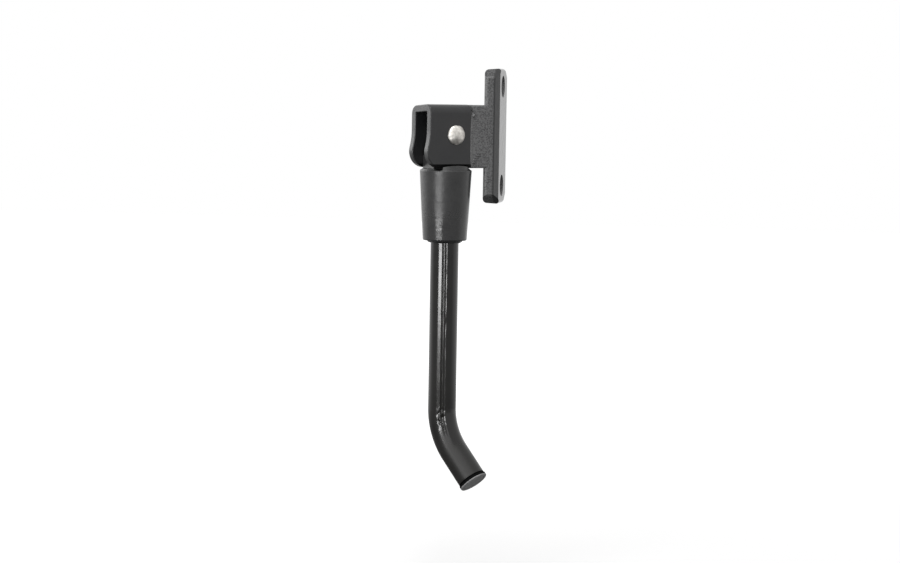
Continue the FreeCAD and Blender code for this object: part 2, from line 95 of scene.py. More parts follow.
class Signal:
    """A shader socket's output that takes part in Python arithmetic."""

    def __init__(self, graph: "Graph", socket: bpy.types.NodeSocket) -> None:
        """Keep the socket and the graph that it belongs to."""
        self.graph = graph
        self.socket = socket

    def __add__(self, other: "Number") -> "Signal":
        """This plus other."""
        return self.graph.math("ADD", self, other)

    def __sub__(self, other: "Number") -> "Signal":
        """This minus other."""
        return self.graph.math("SUBTRACT", self, other)

    def __rsub__(self, other: "Number") -> "Signal":
        """Other minus this."""
        return self.graph.math("SUBTRACT", other, self)

    def __mul__(self, other: "Number") -> "Signal":
        """This times other."""
        return self.graph.math("MULTIPLY", self, other)

    __radd__ = __add__
    __rmul__ = __mul__


Number = Union[Signal, float]


class Graph:
    """One material's or world's node tree."""

    def __init__(self, tree: bpy.types.NodeTree) -> None:
        """Keep the tree and empty it."""
        self.tree = tree
        tree.nodes.clear()

    def node(self, kind: str, settings: Mapping[str, Any] = NOTHING,
             inputs: Mapping[Any, Any] = NOTHING) -> bpy.types.Node:
        """Make one node.

        Args:
            kind: the node's type.
            settings: its properties, set before its sockets.
            inputs: values or signals for its sockets, by name or number.

        Returns:
            The new node.
        """
        node = self.tree.nodes.new(kind)
        for key, value in settings.items():
            setattr(node, key, value)
        for key, value in inputs.items():
            if isinstance(value, Signal):
                self.tree.links.new(value.socket, node.inputs[key])
            else:
                node.inputs[key].default_value = value
        return node

    def signal(self, kind: str, settings: Mapping[str, Any] = NOTHING,
               inputs: Mapping[Any, Any] = NOTHING, output: Any = 0) -> Signal:
        """Make one node and return one of its outputs."""
        return Signal(self, self.node(kind, settings, inputs).outputs[output])

    def math(self, operation: str, first: Number, second: Number) -> Signal:
        """A Math node of two values."""
        return self.signal("ShaderNodeMath", {"operation": operation}, {0: first, 1: second})

    def absolute(self, value: Signal) -> Signal:
        """A value without its sign."""
        return self.math("ABSOLUTE", value, 0.0)

    def mix(self, factor: Number, low: Triple, high: Triple) -> Signal:
        """A colour between low and high."""
        inputs = {0: factor, 6: (*low, 1.0), 7: (*high, 1.0)}
        return self.signal("ShaderNodeMix", {"data_type": "RGBA"}, inputs, 2)

    def ramp(self, value: Number, low: float, high: float) -> Signal:
        """A smooth step from 0 at low to 1 at high, which may be the smaller."""
        inputs = {0: value, 1: low, 2: high}
        return self.signal("ShaderNodeMapRange", {"interpolation_type": "SMOOTHSTEP"}, inputs)

    def place(self, scale: Triple = (1.0, 1.0, 1.0), turn: Triple = (0.0, 0.0, 0.0)) -> Signal:
        """Object coordinates in millimetres.

        Args:
            scale: the stretch along each axis.
            turn: the turn about each axis.

        Returns:
            The coordinates.
        """
        coords = self.signal("ShaderNodeTexCoord", output="Object")
        factors = tuple(part / MM for part in scale)
        inputs = {"Vector": coords, "Rotation": turn, "Scale": factors}
        return self.signal("ShaderNodeMapping", inputs=inputs)

    def along(self, place: Signal, axis: str) -> Signal:
        """One coordinate of a place, by its letter."""
        return self.signal("ShaderNodeSeparateXYZ", inputs={0: place}, output=axis)

    def reach(self, place: Signal) -> Signal:
        """A place's distance from the origin."""
        return self.signal("ShaderNodeVectorMath", {"operation": "LENGTH"}, {0: place}, "Value")

    def noise(self, place: Signal, size: float, detail: float = 2.0, rough: float = 0.5) -> Signal:
        """Cloudy noise whose lumps are about size millimetres."""
        inputs = {"Vector": place, "Scale": 1.0 / size, "Detail": detail, "Roughness": rough}
        return self.signal("ShaderNodeTexNoise", inputs=inputs)

    def pits(self, place: Signal, size: float) -> Signal:
        """Distance to the nearest of scattered points about size millimetres apart."""
        inputs = {"Vector": place, "Scale": 1.0 / size, "Smoothness": 0.4}
        return self.signal("ShaderNodeTexVoronoi", {"feature": "SMOOTH_F1"}, inputs)

    def bump(self, height: Signal, depth: float, below: Signal | None = None) -> Signal:
        """A normal bent by a height.

        Args:
            height: the relief, from 0 to 1.
            depth: the millimetres that 1 stands for.
            below: the normal that it starts from, if not the surface's own.

        Returns:
            The bent normal.
        """
        inputs: dict[Any, Any] = {"Height": height, "Distance": depth * MM, "Strength": 1.0}
        if below is not None:
            inputs["Normal"] = below
        return self.signal("ShaderNodeBump", inputs=inputs)

    def surface(self, inputs: Mapping[Any, Any]) -> None:
        """End the tree in one Principled surface."""
        shader = self.signal("ShaderNodeBsdfPrincipled", inputs=inputs)
        self.node("ShaderNodeOutputMaterial", inputs={"Surface": shader})


def new_material(name: str) -> tuple[bpy.types.Material, Graph]:
    """An empty material.

    Args:
        name: the material's name.

    Returns:
        The material and its graph.
    """
    material = bpy.data.materials.new(name)
    material.use_nodes = True
    return material, Graph(material.node_tree)


# Rubs and scratches are noise stretched along one direction, between these limits
RUB_STRETCH, RUB_TURN, RUB_LIMITS = (1.0, 1.0, 0.22), (0.5, 0.3, 0.4), (0.66, 0.78)
SCRATCH_STRETCH, SCRATCH_TURN, SCRATCH_SIZE = (1.0, 0.12, 1.0), (0.3, 0.2, 0.7), 0.22
STAIN_LIMITS = (0.3, 0.65)
# A coat's tone swings round its middle, and its share of the colour starts from a floor
TONE_MIDDLE, TONE_SHARE, TONE_FLOOR = 0.52, 0.65, 0.15
# A faced coat turns smooth between these places behind the mounting face, down to a share
FACE_BAND, FACE_GLOSS = (-2.6, -2.0), 0.3
# A bore's wall ends this far past its radius, and is rougher than the coat
BORE_EDGE, BORE_ROUGH = 0.15, 0.3


@dataclass(frozen=True)
class Coat:
    """A black coat on metal.

    The grain is the coat's own coarse relief, the peel its long soft waves, and the scuffs are
    short pale rubs. A faced coat is smooth and dark at the mounting face. A fading one changes its
    tone and roughness from its second height to the first, at both ends where it says so: a darker
    tone there is painted shade, a paler one is wear. A rolled one turns under between two heights.
    Bores, given by their distance from the middle and their radius, were drilled through the coat
    and are dull.
    """

    name: str
    dark: Triple
    pale: Triple
    rough_low: float
    rough_high: float
    grain: float
    grain_depth: float
    peel: float
    peel_depth: float
    scuffs: float
    specular: float = 0.5
    speckle: float = 0.45
    faced: bool = False
    fade: Span | None = None
    shade_and_wear_tone: float = 0.0
    fade_rough: float = 0.0
    both_ends: bool = False
    rolled: Span | None = None
    bores: Span | None = None

    def make(self) -> bpy.types.Material:
        """Build the coat.

        Returns:
            The material.
        """
        material, graph = new_material(self.name)
        place = graph.place()
        cloud = graph.noise(place, self.peel * 3.0, 3.0)
        grain = graph.pits(place, self.grain) * 0.6 + graph.noise(place, self.grain * 0.6, 3.0, 0.6) * 0.6
        rubs = graph.noise(graph.place(RUB_STRETCH, RUB_TURN), self.grain * 1.8, 4.0, 0.65)
        rub = graph.ramp(rubs, *RUB_LIMITS) * self.scuffs
        spread = 0.3 - 0.2 * self.speckle
        tone = graph.ramp(cloud * (1.0 - self.speckle) + grain * self.speckle,
                          TONE_MIDDLE - spread, TONE_MIDDLE + spread)
        peel = graph.noise(place, self.peel, 1.0)
        relief = grain
        shade = tone * TONE_SHARE + rub + TONE_FLOOR
        rough = tone * (self.rough_high - self.rough_low) + self.rough_low + rub * 0.1
        if self.faced:
            coarse = 1.0 - graph.ramp(graph.along(place, "X"), *FACE_BAND)
            relief = grain * coarse
            shade = shade * coarse
            rough = rough * (coarse * (1.0 - FACE_GLOSS) + FACE_GLOSS)
        # A darker tone where the coat fades is painted shade, as at the mount plate's ends; a paler one is
        # wear
        if self.fade:
            faded = self._faded(graph, place)
            shade = shade + faded * self.shade_and_wear_tone
            rough = rough + faded * self.fade_rough
        if self.bores:
            wall = self._bored(graph, place)
            shade = shade + wall
            rough = rough + wall * BORE_ROUGH
        normal = graph.bump(relief, self.grain_depth, graph.bump(peel, self.peel_depth))
        if self.rolled:
            edge = graph.ramp(graph.along(place, "Z"), *self.rolled)
            normal = graph.bump(edge, 2.0 * (self.rolled[1] - self.rolled[0]), normal)
        graph.surface({
            "Base Color": graph.mix(shade, self.dark, self.pale),
            "Roughness": rough,
            "Specular IOR Level": self.specular,
            "Normal": normal,
        })
        return material

    def _faded(self, graph: Graph, place: Signal) -> Signal:
        """Where a fading coat has changed.

        Args:
            graph: the coat's graph.
            place: its coordinates.

        Returns:
            1 where it has changed fully and 0 where it hasn't.
        """
        height = graph.along(place, "Z")
        if self.both_ends:
            height = graph.absolute(height)
        return 1.0 - graph.ramp(height, *self.fade)

    def _bored(self, graph: Graph, place: Signal) -> Signal:
        """Where a coat is drilled.

        Args:
            graph: the coat's graph.
            place: its coordinates.

        Returns:
            1 on the walls of the two bores and 0 elsewhere.
        """
        middle, radius = self.bores
        across = graph.along(place, "Y")
        level = graph.absolute(graph.along(place, "Z")) - middle
        return graph.ramp(across * across + level * level, (radius + BORE_EDGE) ** 2, radius ** 2)


@dataclass(frozen=True)
class Steel:
    """Bare or plated steel with fine scratches and small dents."""

    name: str
    dark: Triple
    pale: Triple
    rough: float
    dent: float
    dent_depth: float
    scratch_depth: float

    def make(self) -> bpy.types.Material:
        """Build the steel.

        Returns:
            The material.
        """
        material, graph = new_material(self.name)
        place = graph.place()
        dents = graph.pits(place, self.dent)
        scratches = graph.noise(graph.place(SCRATCH_STRETCH, SCRATCH_TURN), SCRATCH_SIZE, 3.0, 0.7)
        stain = graph.noise(place, self.dent * 1.7, 3.0)
        normal = graph.bump(scratches, self.scratch_depth, graph.bump(dents, self.dent_depth))
        graph.surface({
            "Base Color": graph.mix(graph.ramp(stain, *STAIN_LIMITS), self.dark, self.pale),
            "Metallic": 1.0,
            "Roughness": scratches * 0.25 + self.rough,
            "Normal": normal,
        })
        return material


@dataclass(frozen=True)
class Plastic:
    """Moulded plastic with a fine spark-eroded grain."""

    name: str
    dark: Triple
    pale: Triple
    rough: float
    grain: float
    grain_depth: float
    specular: float = 0.5

    def make(self) -> bpy.types.Material:
        """Build the plastic.

        Returns:
            The material.
        """
        material, graph = new_material(self.name)
        place = graph.place()
        grain = graph.pits(place, self.grain) * 0.5 + graph.noise(place, self.grain * 0.7, 3.0, 0.6) * 0.7
        tone = graph.ramp(grain * 0.7 + graph.noise(place, self.grain * 9.0) * 0.3, 0.25, 0.75)
        graph.surface({
            "Base Color": graph.mix(tone, self.dark, self.pale),
            "Roughness": tone * 0.15 + self.rough,
            "Specular IOR Level": self.specular,
            "Normal": graph.bump(grain, self.grain_depth),
        })
        return material


# The mount's darker tone at both ends of the plate, from 27.2 mm off the middle outwards, is painted shade
# on its end bevels
CAST_COAT = Coat(
    "cast_coat", dark=(0.01, 0.01, 0.011), pale=(0.18, 0.18, 0.181), rough_low=0.34, rough_high=0.5,
    grain=0.7, grain_depth=0.14, peel=3.0, peel_depth=0.1, scuffs=0.5, speckle=0.8, faced=True,
    fade=(28.2, 27.2), shade_and_wear_tone=-0.35, both_ends=True, bores=(23.0, 5.0))
WELD_COAT = Coat(
    "weld_coat", dark=(0.06, 0.06, 0.061), pale=(0.17, 0.17, 0.171), rough_low=0.22, rough_high=0.32,
    grain=0.6, grain_depth=0.03, peel=2.0, peel_depth=0.03, scuffs=0.4)
SATIN_COAT = Coat(
    "satin_coat", dark=(0.009, 0.009, 0.01), pale=(0.019, 0.019, 0.02), rough_low=0.3, rough_high=0.4,
    grain=0.5, grain_depth=0.012, peel=2.6, peel_depth=0.02, scuffs=0.15, rolled=(-14.7, -12.7))
HOUSING_COAT = Coat(
    "housing_coat", dark=(0.014, 0.014, 0.015), pale=(0.034, 0.034, 0.034),
    rough_low=0.27, rough_high=0.38, grain=0.5, grain_depth=0.014, peel=2.6, peel_depth=0.07, scuffs=0.12,
    fade=(-45.0, -30.0), fade_rough=-0.16)
TUBE_COAT = Coat(
    "tube_coat", dark=(0.0034, 0.0032, 0.0028), pale=(0.0098, 0.0092, 0.0082),
    rough_low=0.1, rough_high=0.16, grain=0.6, grain_depth=0.003, peel=2.4, peel_depth=0.01,
    scuffs=0.06, specular=0.42, fade=(-147.0, -134.0), shade_and_wear_tone=0.2, fade_rough=0.25)
ROD_BLACK = Coat(
    "rod_black", dark=(0.004, 0.004, 0.0045), pale=(0.01, 0.01, 0.01), rough_low=0.45, rough_high=0.6,
    grain=0.6, grain_depth=0.03, peel=2.5, peel_depth=0.02, scuffs=0.1)
RIVET_STEEL = Steel(
    "rivet_steel", dark=(0.46, 0.44, 0.41), pale=(0.74, 0.72, 0.68), rough=0.32,
    dent=1.6, dent_depth=0.12, scratch_depth=0.01)
PLATED_STEEL = Steel(
    "plated_steel", dark=(0.42, 0.42, 0.41), pale=(0.6, 0.6, 0.58), rough=0.3,
    dent=0.9, dent_depth=0.015, scratch_depth=0.01)
SPRING_STEEL = Steel(
    "spring_steel", dark=(0.2, 0.2, 0.21), pale=(0.36, 0.36, 0.37), rough=0.32,
    dent=0.8, dent_depth=0.01, scratch_depth=0.012)
PLUG_PLASTIC = Plastic(
    "plug_plastic", dark=(0.001, 0.001, 0.0012), pale=(0.003, 0.003, 0.0033), rough=0.6,
    grain=0.45, grain_depth=0.02, specular=0.04)
PLUG_FACE = Plastic(
    "plug_face", dark=(0.22, 0.22, 0.222), pale=(0.42, 0.42, 0.422), rough=0.55,
    grain=0.45, grain_depth=0.06)


def pivot_matrix(joint: Mapping[str, Any]) -> Matrix:
    """From the pivot frame in millimetres to the row frame in metres.

    Args:
        joint: the leg's hinge, as the record states it.

    Returns:
        The matrix of place, turn and unit.
    """
    across = Vector(joint["axis"]).normalized()
    turn = Matrix((across.cross(UP), across, UP)).transposed().to_4x4()
    return Matrix.Translation(Vector(joint["pos_m"])) @ turn @ Matrix.Scale(MM, 4)


PIVOT = pivot_matrix(next(joint for joint in frame["joints"] if joint["name"] == "leg_swing"))


class Piece:
    """A mesh under construction, in millimetres."""

    def __init__(self, name: str) -> None:
        """Start an empty mesh."""
        self.name = name
        self.mesh = bmesh.new()

    def profile(self, points: Sequence[Span]) -> list[bmesh.types.BMEdge]:
        """A chain of edges in the XZ plane, for a spin about Z.

        Args:
            points: radius and height of each point.

        Returns:
            The edges.
        """
        verts = [self.mesh.verts.new((radius, 0.0, height)) for radius, height in points]
        return [self.mesh.edges.new(pair) for pair in zip(verts, verts[1:])]

    def spin(self, edges: Sequence[bmesh.types.BMEdge], steps: int) -> None:
        """Turn a profile once about Z."""
        verts = {vert for edge in edges for vert in edge.verts}
        bmesh.ops.spin(self.mesh, geom=list(edges) + list(verts), cent=(0, 0, 0), axis=(0, 0, 1),
                       angle=math.tau, steps=steps, use_merge=True)

    def push(self, shift: Callable[[Vector], Vector]) -> None:
        """Move every vertex by what a function of its place gives."""
        for vert in self.mesh.verts:
            vert.co += shift(vert.co.copy())

    def close(self) -> None:
        """Merge doubles and turn the faces outwards."""
        bmesh.ops.remove_doubles(self.mesh, verts=self.mesh.verts, dist=1e-4)
        bmesh.ops.recalc_face_normals(self.mesh, faces=self.mesh.faces)

    def finish(self, place: Matrix, material: bpy.types.Material, body: Body, slot: str,
               crease: float = 35.0) -> bpy.types.Object:
        """Close the mesh, put it in the row frame and make it ride.

        Args:
            place: from the mesh's frame to the row frame.
            material: its finish.
            body: the body that it rides on.
            slot: the record's material slot; not used.
            crease: edges sharper than this many degrees stay sharp.

        Returns:
            The new object.
        """
        self.close()
        bmesh.ops.transform(self.mesh, matrix=place, verts=self.mesh.verts)
        data = bpy.data.meshes.new(self.name)
        self.mesh.to_mesh(data)
        self.mesh.free()
        data.polygons.foreach_set("use_smooth", [True] * len(data.polygons))
        data.set_sharp_from_angle(angle=math.radians(crease))
        data.materials.append(material)
        piece = bpy.data.objects.new(self.name, data)
        bpy.context.scene.collection.objects.link(piece)
        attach(piece, body.value)
        LOG.info("%s: %d faces on %s", self.name, len(data.polygons), body.value)
        return piece


def dress_node(node: str, material: bpy.types.Material) -> None:
    """Give a carried-over CAD node its finish.

    Args:
        node: the node's name.
        material: its finish.
    """
    slots = frame["nodes"][node].data.materials
    slots.clear()
    slots.append(material)
    LOG.info("%s: dressed with %s", node, material.name)


@dataclass
class Bracket:
    """The mount, the yoke and the rivet.

    Welds have three half lengths, a place as distance from the seam and height, and a lean in
    radians.
    """

    half_width: float = 8.2
    seam: float = 8.5
    rivet_head: float = 8.9
    rivet_shank: float = 6.4
    rivet_dome: float = 2.3
    rivet_brim: float = 0.5
    rivet_steps: int = 72
    dome_steps: int = 10
    peen_size: float = 2.4
    peen_depth: float = 0.32
    peen_push: float = 0.03
    bead: Triple = (1.1, 0.55, 0.36)
    bead_place: Span = (1.2, -12.6)
    bead_pitch: Span = (0.7875, 1.05)
    bead_lean: float = math.radians(12.0)
    bead_count: int = 5
    tack: Triple = (0.7, 0.88, 0.9)
    tack_place: Span = (0.9, 8.9)
    tack_lean: float = 0.3
    ridge: Triple = (0.55, 0.16, 11.8)
    ridge_place: Span = (0.0, -2.4)

    def build_rivet(self) -> None:
        """Turned rivet with two peened heads."""
        piece = Piece("peened_rivet")
        drop = self.rivet_dome - self.rivet_brim
        radius = ((self.rivet_head / 2) ** 2 + drop ** 2) / (2 * drop)
        reach = math.asin(self.rivet_head / 2 / radius)
        crown = self.half_width + self.rivet_dome
        turns = [reach * step / self.dome_steps for step in range(self.dome_steps + 1)]
        dome = [(radius * math.sin(turn), crown - radius * (1 - math.cos(turn))) for turn in turns]
        top = dome + [(self.rivet_head / 2, self.half_width), (self.rivet_shank / 2, self.half_width)]
        profile = top + [(across, -height) for across, height in reversed(top)]
        piece.spin(piece.profile(profile), self.rivet_steps)
        piece.push(self._peen)
        rivet = piece.finish(PIVOT @ Matrix.Rotation(math.radians(-90), 4, "X"), RIVET_STEEL.make(),
                             Body.BRACKET, "rivet_steel", crease=50.0)
        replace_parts(rivet, "pivot_rivet")

    def _peen(self, point: Vector) -> Vector:
        """Dents of the riveting hammer: inward on the crowns, sideways at the heads' edges.

        Args:
            point: a point of the rivet.

        Returns:
            How far it moves.
        """
        if abs(point.z) <= self.half_width:
            return Vector((0.0, 0.0, 0.0))
        lump = noise.noise(point / self.peen_size)
        height = (abs(point.z) - self.half_width) / self.rivet_dome
        sink = -abs(lump) * self.peen_depth * height * math.copysign(1.0, point.z)
        push = noise.noise(point / self.peen_size + UP * 7.0) * self.peen_push
        return Vector((point.x * push, point.y * push, sink))

    def build_tacks(self) -> None:
        """Weld ripples and a low ridge that show through the coat where the yoke meets the tongue."""
        piece = Piece("seam_weld")
        for number in range(self.bead_count):
            place = (self.bead_place[0] + self.bead_pitch[0] * number,
                     self.bead_place[1] + self.bead_pitch[1] * number)
            self._weld(piece, place, self.bead, self.bead_lean)
        self._weld(piece, self.tack_place, self.tack, self.tack_lean)
        self._weld(piece, self.ridge_place, self.ridge, 0.0)
        piece.finish(PIVOT, WELD_COAT.make(), Body.BRACKET, "mount_paint", crease=60.0)

    def _weld(self, piece: Piece, place: Span, size: Triple, lean: float) -> None:
        """One lump of weld on the near face.

        Args:
            piece: the mesh to add to.
            place: its distance from the seam and its height.
            size: its three half lengths.
            lean: its turn in the face's plane.
        """
        centre = Matrix.Translation((self.seam + place[0], -self.half_width, place[1]))
        shape = centre @ Matrix.Rotation(lean, 4, "Y") @ Matrix.Diagonal((*size, 1.0))
        bmesh.ops.create_uvsphere(piece.mesh, u_segments=20, v_segments=16, radius=1.0, matrix=shape)

    def dress(self) -> None:
        """Coat the mount and the yoke."""
        dress_node("mount_block", CAST_COAT.make())
        dress_node("yoke", SATIN_COAT.make())


@dataclass
class Puller:
    """The pull rod with its nut, washer and spring."""

    wire: float = 1.6
    wire_steps: int = 16
    coil: float = 10.9
    spring_foot: float = -33.68
    spring_length: float = 11.96
    turns: int = 4
    turn_steps: int = 48
    pull: float = 3.0

    def build_spring(self) -> None:
        """Round wire spring that rides on the pull rod."""
        piece = Piece("wound_spring")
        mesh = piece.mesh
        section = bmesh.ops.create_circle(mesh, cap_ends=False, segments=self.wire_steps,
                                          radius=self.wire / 2)["verts"]
        start = Matrix.Translation((self.coil / 2, 0.0, self.spring_foot + self.wire / 2))
        bmesh.ops.transform(mesh, matrix=start @ Matrix.Rotation(math.pi / 2, 4, "X"), verts=section)
        steps = self.turns * self.turn_steps
        rise = (self.spring_length - self.wire) / steps
        bmesh.ops.spin(mesh, geom=list(section) + list(mesh.edges), cent=(0, 0, 0), axis=(0, 0, 1),
                       dvec=(0, 0, rise), angle=math.tau * self.turns, steps=steps)
        bmesh.ops.holes_fill(mesh, edges=list(mesh.edges))
        spring = piece.finish(PIVOT, SPRING_STEEL.make(), Body.ROD, "spring_steel", crease=50.0)
        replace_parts(spring, "coil_spring")
        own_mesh(spring)

    def dress(self) -> None:
        """Finish the rod, the nut and the washer."""
        plated = PLATED_STEEL.make()
        dress_node("pull_rod", ROD_BLACK.make())
        dress_node("rod_nut", plated)
        dress_node("spring_washer", plated)


@dataclass
class Leg:
    """The housing, the bent tube and the toe plug, in a frame whose x points to the toe.

    Each lip of the tube's seam has its distance from the seam's middle, its height and its width.
    Each point of the ring in the plug's face has its distance from the rim and its depth.
    """

    toe_azimuth: float = 68.0
    tube: float = 13.0
    wall: float = 1.5
    tube_fit: float = 0.05
    tube_end: float = 40.1
    cone_end: float = 48.6
    bend_start: float = 126.3
    bend_radius: float = 31.0
    bend_angle: float = 40.7
    toe_length: float = 15.0
    ring_steps: int = 128
    ring_crowd: float = 0.72
    straight_steps: int = 150
    bend_steps: int = 40
    toe_steps: int = 14
    seam_angle: float = -59.5
    seam_groove: float = 0.3
    seam_groove_width: float = 0.26
    seam_lips: tuple[Triple, ...] = ((-0.7, 0.06, 0.4), (0.7, 0.13, 0.3), (1.95, 0.19, 0.3))
    seam_wander: float = 0.12
    lip_swing: float = 0.3
    wrinkle: float = 0.42
    wrinkle_place: float = 5.0
    wrinkle_length: float = 4.0
    wrinkle_width: float = 1.8
    flange: float = 1.6
    flange_lip: float = 0.3
    groove: float = 0.4
    groove_width: float = 0.7
    shank: float = 9.0
    plug_edge: float = 0.5
    plug_steps: int = 64
    face_ring: tuple[Span, ...] = ((1.3, 0.0), (1.45, 0.2), (1.75, 0.2), (1.9, 0.0))
    weld: float = 1.1
    weld_spread: float = 1.65
    weld_gap: float = 0.02
    weld_sink: float = 0.2
    weld_steps: int = 10
    weld_turns: int = 96
    ripple_size: float = 1.6
    ripple_start: float = 0.1
    ripple_out: float = 0.3
    ripple_down: float = 0.35

    def frame(self) -> Matrix:
        """From the leg's frame to the row frame."""
        return PIVOT @ Matrix.Rotation(math.radians(-self.toe_azimuth), 4, "Z")

    def toe_direction(self) -> Vector:
        """The way that the tube runs past its bend."""
        lean = math.radians(self.bend_angle)
        return Vector((math.sin(lean), 0.0, -math.cos(lean)))

    def build_tube(self) -> None:
        """Bent tube with a welded seam along its length."""
        piece = Piece("seamed_tube")
        mesh = piece.mesh
        ring = bmesh.ops.create_circle(mesh, cap_ends=False, segments=self.ring_steps,
                                       radius=self.tube / 2)["verts"]
        for vert in ring:
            vert.co = self._crowd(vert.co)
        length = self.bend_start - self.tube_end
        bmesh.ops.translate(mesh, verts=ring, vec=(0, 0, -self.tube_end))
        ring = self._run(piece, ring, -UP, length, self.straight_steps)
        edges = [edge for edge in mesh.edges if all(vert in ring for vert in edge.verts)]
        turned = bmesh.ops.spin(mesh, geom=list(ring) + edges, cent=(self.bend_radius, 0, -self.bend_start),
                                axis=(0, 1, 0), angle=-math.radians(self.bend_angle), steps=self.bend_steps)
        ring = {item for item in turned["geom_last"] if isinstance(item, bmesh.types.BMVert)}
        self._run(piece, ring, self.toe_direction(), self.toe_length, self.toe_steps)
        piece.close()
        piece.push(self._seam)
        mesh.normal_update()
        bmesh.ops.solidify(mesh, geom=list(mesh.faces), thickness=self.wall)
        tube = piece.finish(self.frame(), TUBE_COAT.make(), Body.LEG, "tube_paint", crease=50.0)
        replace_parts(tube, "leg_tube")

    def _crowd(self, point: Vector) -> Vector:
        """Draw a ring's points together at the seam.

        Args:
            point: a point of an even ring.

        Returns:
            Its new place.
        """
        angle = math.atan2(point.y, point.x)
        angle -= self.ring_crowd * math.sin(angle)
        angle += math.radians(self.seam_angle)
        return Vector((math.cos(angle), math.sin(angle), 0.0)) * (self.tube / 2)

    @staticmethod
    def _run(piece: Piece, ring: Iterable[bmesh.types.BMVert], direction: Vector, length: float,
             steps: int) -> set[bmesh.types.BMVert]:
        """Extrude a ring along a straight run.

        Args:
            piece: the mesh.
            ring: the vertices to start from.
            direction: a unit vector.
            length: the run's length.
            steps: how many rings to make.

        Returns:
            The last ring.
        """
        members = set(ring)
        for _ in range(steps):
            edges = [edge for edge in {edge for vert in members for edge in vert.link_edges}
                     if all(vert in members for vert in edge.verts)]
            made = bmesh.ops.extrude_edge_only(piece.mesh, edges=edges)["geom"]
            members = {item for item in made if isinstance(item, bmesh.types.BMVert)}
            bmesh.ops.translate(piece.mesh, verts=list(members), vec=direction * (length / steps))
        return members

    def _axis_point(self, point: Vector) -> tuple[Vector, float]:
        """The tube's axis beside a point.

        Args:
            point: a point of the tube.

        Returns:
            The nearest point of the axis, and how far along the leg it is.
        """
        if point.z > -self.bend_start:
            return Vector((0.0, 0.0, point.z)), -point.z
        centre = Vector((self.bend_radius, 0.0, -self.bend_start))
        turn = math.atan2(-(point.z - centre.z), -(point.x - centre.x))
        lean = math.radians(self.bend_angle)
        if turn < lean:
            away = Vector((-math.cos(turn), 0.0, -math.sin(turn)))
            return centre + away * self.bend_radius, self.bend_start + turn * self.bend_radius
        start = centre + Vector((-math.cos(lean), 0.0, -math.sin(lean))) * self.bend_radius
        reach = (point - start).dot(self.toe_direction())
        return start + self.toe_direction() * reach, self.bend_start + lean * self.bend_radius + reach

    def _seam(self, point: Vector) -> Vector:
        """Relief of the welded seam: a groove between uneven lips, and wrinkles in the bend.

        Args:
            point: a point of the smooth tube.

        Returns:
            How far it moves.
        """
        axis, reach = self._axis_point(point)
        out = (point - axis).normalized()
        lean = math.radians(self.bend_angle)
        turn = min(max((reach - self.bend_start) / self.bend_radius, 0.0), lean)
        across = Vector((math.cos(turn), 0.0, math.sin(turn)))
        angle = math.atan2(out.y, out.dot(across)) - math.radians(self.seam_angle)
        aside = math.remainder(angle, math.tau) * self.tube / 2
        aside -= noise.noise(Vector((reach / 9.0, 3.0, 0.0))) * self.seam_wander
        uneven = 0.9 + self.lip_swing * noise.noise(Vector((reach / 5.5, aside / 1.5, 5.0)))
        lips = sum(height * math.exp(-((aside - middle) / width) ** 2)
                   for middle, height, width in self.seam_lips)
        groove = self.seam_groove * math.exp(-(aside / self.seam_groove_width) ** 2)
        past = (reach - self.bend_start - self.wrinkle_place) / self.wrinkle_length
        fold = self.wrinkle * math.exp(-past ** 2 - (aside / self.wrinkle_width) ** 2)
        fold *= noise.noise(Vector((reach / 2.0, aside / 1.3, 9.0)))
        ironed = 1.0 / (1.0 + math.exp(past - 2.0) ** 3)
        return out * ((lips * uneven - groove) * ironed + fold)

    def build_plug(self) -> None:
        """Black plug with a groove and a shank in the tube, and a pale cap on its end."""
        plug, cap = Piece("toe_plug"), Piece("plug_face")
        core, rim = self.tube / 2 - self.wall - self.tube_fit, self.tube / 2 + self.flange_lip
        neck = self.tube / 2 - self.groove
        low = -self.groove_width - self.flange
        seat = low + self.plug_edge
        plug.spin(plug.profile([
            (0.0, self.shank), (core, self.shank), (core, 0.0), (neck, 0.0), (neck, -self.groove_width),
            (rim, -self.groove_width), (rim, seat), (0.0, seat),
        ]), self.plug_steps)
        corner = [(rim - self.plug_edge * (1 - math.cos(turn)), low + self.plug_edge * (1 - math.sin(turn)))
                  for turn in (0.0, math.pi / 6, math.pi / 3, math.pi / 2)]
        ring = [(rim - inward, low + depth) for inward, depth in self.face_ring]
        cap.spin(cap.profile([(0.0, seat), *corner, *ring, (0.0, low)]), self.plug_steps)
        lean = math.radians(self.bend_angle)
        bend = Vector((1 - math.cos(lean), 0.0, -math.sin(lean))) * self.bend_radius
        tip = bend + self.toe_direction() * self.toe_length - UP * self.bend_start
        place = self.frame() @ Matrix.Translation(tip) @ Matrix.Rotation(-lean, 4, "Y")
        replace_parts(plug.finish(place, PLUG_PLASTIC.make(), Body.LEG, "plug_plastic"), "foot_plug")
        cap.finish(place, PLUG_FACE.make(), Body.LEG, "plug_plastic")

    def build_weld(self) -> None:
        """Uneven weld bead where the tube enters the housing."""
        piece = Piece("housing_weld")
        rim, top = self.tube / 2 + self.weld_gap, self.weld_sink - self.cone_end
        turns = [math.pi / 2 * step / self.weld_steps for step in range(self.weld_steps + 1)]
        arc = [(rim + self.weld_spread * math.cos(turn), -self.cone_end - self.weld * math.sin(turn))
               for turn in turns]
        piece.spin(piece.profile([(rim, top), (arc[0][0], top), *arc,
                                  (rim, -self.cone_end - self.weld), (rim, top)]), self.weld_turns)
        piece.push(self._ripple)
        piece.finish(self.frame(), HOUSING_COAT.make(), Body.LEG, "housing_paint", crease=60.0)

